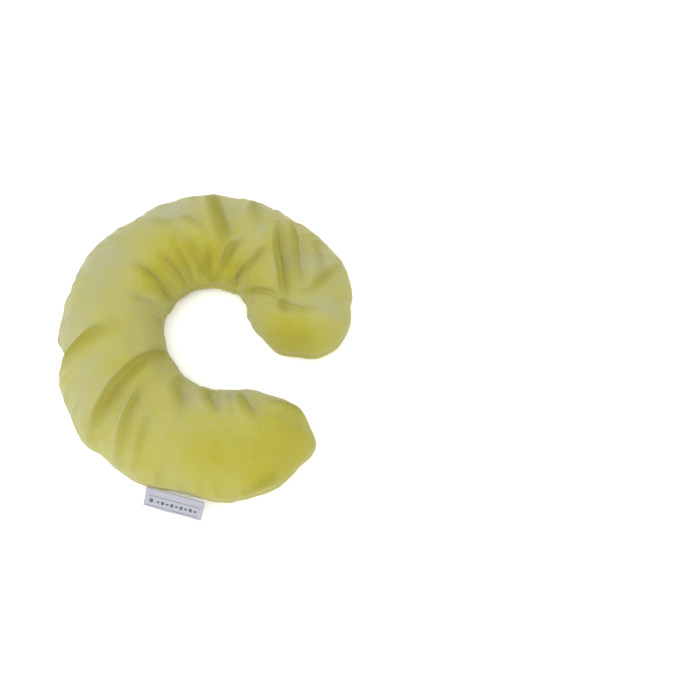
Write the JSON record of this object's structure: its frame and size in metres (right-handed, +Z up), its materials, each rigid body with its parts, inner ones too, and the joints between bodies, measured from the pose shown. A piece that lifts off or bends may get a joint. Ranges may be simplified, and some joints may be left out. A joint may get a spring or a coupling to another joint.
{
  "type": "herbal neck compress",
  "caption": "Horseshoe neck compress: a plush zipped cover round a chambered bag of dried herbs, flat underneath and domed on top, with a folded side label.",
  "frame": {"origin": "centre of the neck opening, on the plane that the compress rests on", "axes": "+Z up, out of the domed side; the horseshoe opens towards -Y; +X is the wearer's left arm"},
  "size_m": [0.3296, 0.294, 0.054],
  "materials": {
    "plush_velour": "matte short pile",
    "bag_cotton": "matte plain weave",
    "dried_herbs": "loose dried grain and herbs",
    "label_satin": "folded woven ribbon",
    "zip_tape": "herringbone tape",
    "zip_nylon": "nylon coil",
    "zip_metal": "enamelled die casting"
  },
  "bodies": {
    "back": {"cover_top_back": "plush_velour", "cover_bottom_back": "plush_velour", "inner_bag_back": "bag_cotton", "herb_filling_back": "dried_herbs", "zip_tape_upper": "zip_tape", "zip_tape_lower": "zip_tape", "zip_coil_upper": "zip_nylon", "zip_coil_lower": "zip_nylon", "zip_bottom_stop": "zip_metal", "zip_top_stop": "zip_metal"},
    "left_shoulder": {"cover_top_left_shoulder": "plush_velour", "cover_bottom_left_shoulder": "plush_velour", "inner_bag_left_shoulder": "bag_cotton", "herb_filling_left_shoulder": "dried_herbs"},
    "left_tip": {"cover_top_left_tip": "plush_velour", "cover_bottom_left_tip": "plush_velour", "inner_bag_left_tip": "bag_cotton", "herb_filling_left_tip": "dried_herbs"},
    "right_shoulder": {"cover_top_right_shoulder": "plush_velour", "cover_bottom_right_shoulder": "plush_velour", "inner_bag_right_shoulder": "bag_cotton", "herb_filling_right_shoulder": "dried_herbs"},
    "right_tip": {"cover_top_right_tip": "plush_velour", "cover_bottom_right_tip": "plush_velour", "inner_bag_right_tip": "bag_cotton", "herb_filling_right_tip": "dried_herbs"},
    "label": {"side_label": "label_satin"},
    "slider": {"zip_slider": "zip_metal"},
    "pull": {"zip_pull": "zip_metal"}
  },
  "joints": [
    {"name": "left_arm_spread", "type": "hinge", "parent": "back", "child": "left_shoulder", "pos_m": [0.09177, 0.13106, 0.019], "axis": [0, 0, 1], "range_deg": [-3, 25]},
    {"name": "left_tip_lift", "type": "hinge", "parent": "left_shoulder", "child": "left_tip", "pos_m": [0.09712, -0.00046, 0], "axis": [-0.9954, 0.0958, 0], "range_deg": [0, 30]},
    {"name": "right_arm_spread", "type": "hinge", "parent": "back", "child": "right_shoulder", "pos_m": [-0.09177, 0.13106, 0.019], "axis": [0, 0, -1], "range_deg": [-5, 20]},
    {"name": "right_tip_lift", "type": "hinge", "parent": "right_shoulder", "child": "right_tip", "pos_m": [-0.11084, 0.00082, 0], "axis": [-0.9954, 0.0958, 0], "range_deg": [0, 30]},
    {"name": "label_flip", "type": "hinge", "parent": "right_tip", "child": "label", "pos_m": [-0.16401, -0.04878, 0.019], "axis": [-0.1908, 0.9816, 0], "range_deg": [0, 110]},
    {"name": "zip_run", "type": "hinge", "parent": "back", "child": "slider", "pos_m": [0, 0, 0.01], "axis": [0, 0, 1], "range_deg": [0, 52]},
    {"name": "zip_pull_swing", "type": "hinge", "parent": "slider", "child": "pull", "pos_m": [0.0686, 0.14066, 0.01], "axis": [0, 0, -1], "range_deg": [0, 150]}
  ]
}
